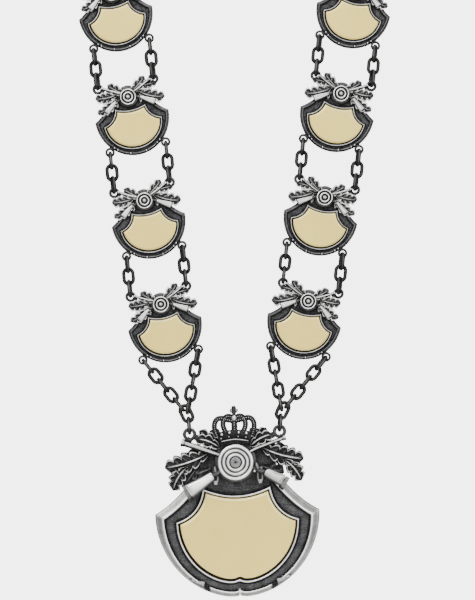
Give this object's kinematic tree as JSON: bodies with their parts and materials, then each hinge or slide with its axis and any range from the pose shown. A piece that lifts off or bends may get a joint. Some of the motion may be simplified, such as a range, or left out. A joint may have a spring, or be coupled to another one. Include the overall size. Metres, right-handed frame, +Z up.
{
  "type": "shooting club king chain",
  "caption": "Ceremonial chain of office: shield plaques on link strands, a crowned shield pendant and a plain neck chain, hanging as it is worn.",
  "frame": {"origin": "middle of the neck chain at the nape of the wearer's neck, where the chain rests", "axes": "+Z up, the front of the chain faces -Y, +X to the right of someone who looks at its front"},
  "size_m": [0.203, 0.1177, 0.5037],
  "materials": {
    "antique_silver": "cast brass with antique silver plating, darkened in the recesses and worn bright on the rims",
    "darkened_silver_links": "darkened silvered wire",
    "matt_gold_plate": "matt pale gold engraving plate, blank"
  },
  "bodies": {
    "chain": {"plaque_left_1": "antique_silver", "plate_left_1": "matt_gold_plate", "plaque_left_2": "antique_silver", "plate_left_2": "matt_gold_plate", "plaque_left_3": "antique_silver", "plate_left_3": "matt_gold_plate", "plaque_left_4": "antique_silver", "plate_left_4": "matt_gold_plate", "strand_left_low_outer": "darkened_silver_links", "strand_left_low_inner": "darkened_silver_links", "strand_left_mid4_outer": "darkened_silver_links", "strand_left_mid4_inner": "darkened_silver_links", "strand_left_mid3_outer": "darkened_silver_links", "strand_left_mid3_inner": "darkened_silver_links", "strand_left_mid2_outer": "darkened_silver_links", "strand_left_mid2_inner": "darkened_silver_links", "strand_left_top_outer": "darkened_silver_links", "strand_left_top_inner": "darkened_silver_links", "drop_link_left": "darkened_silver_links", "low_shared_link_left": "darkened_silver_links", "top_shared_link_left": "darkened_silver_links", "plaque_right_1": "antique_silver", "plate_right_1": "matt_gold_plate", "plaque_right_2": "antique_silver", "plate_right_2": "matt_gold_plate", "plaque_right_3": "antique_silver", "plate_right_3": "matt_gold_plate", "plaque_right_4": "antique_silver", "plate_right_4": "matt_gold_plate", "strand_right_low_outer": "darkened_silver_links", "strand_right_low_inner": "darkened_silver_links", "strand_right_mid4_outer": "darkened_silver_links", "strand_right_mid4_inner": "darkened_silver_links", "strand_right_mid3_outer": "darkened_silver_links", "strand_right_mid3_inner": "darkened_silver_links", "strand_right_mid2_outer": "darkened_silver_links", "strand_right_mid2_inner": "darkened_silver_links", "strand_right_top_outer": "darkened_silver_links", "strand_right_top_inner": "darkened_silver_links", "drop_link_right": "darkened_silver_links", "low_shared_link_right": "darkened_silver_links", "top_shared_link_right": "darkened_silver_links", "neck_strand_1": "darkened_silver_links", "neck_strand_2": "darkened_silver_links", "neck_strand_3": "darkened_silver_links", "neck_strand_4": "darkened_silver_links", "neck_strand_5": "darkened_silver_links", "neck_strand_6": "darkened_silver_links"},
    "pendant": {"pendant_shield": "antique_silver", "pendant_plate": "matt_gold_plate", "pendant_leaves": "antique_silver", "pendant_rifles": "antique_silver", "pendant_target": "antique_silver", "pendant_crown": "antique_silver"}
  },
  "joints": [
    {"name": "pendant_swing", "type": "hinge", "parent": "chain", "child": "pendant", "pos_m": [-0.00012, -0.1055, -0.3917], "axis": [0.9994, 0, 0.0349], "range_deg": [-80, 80]}
  ]
}
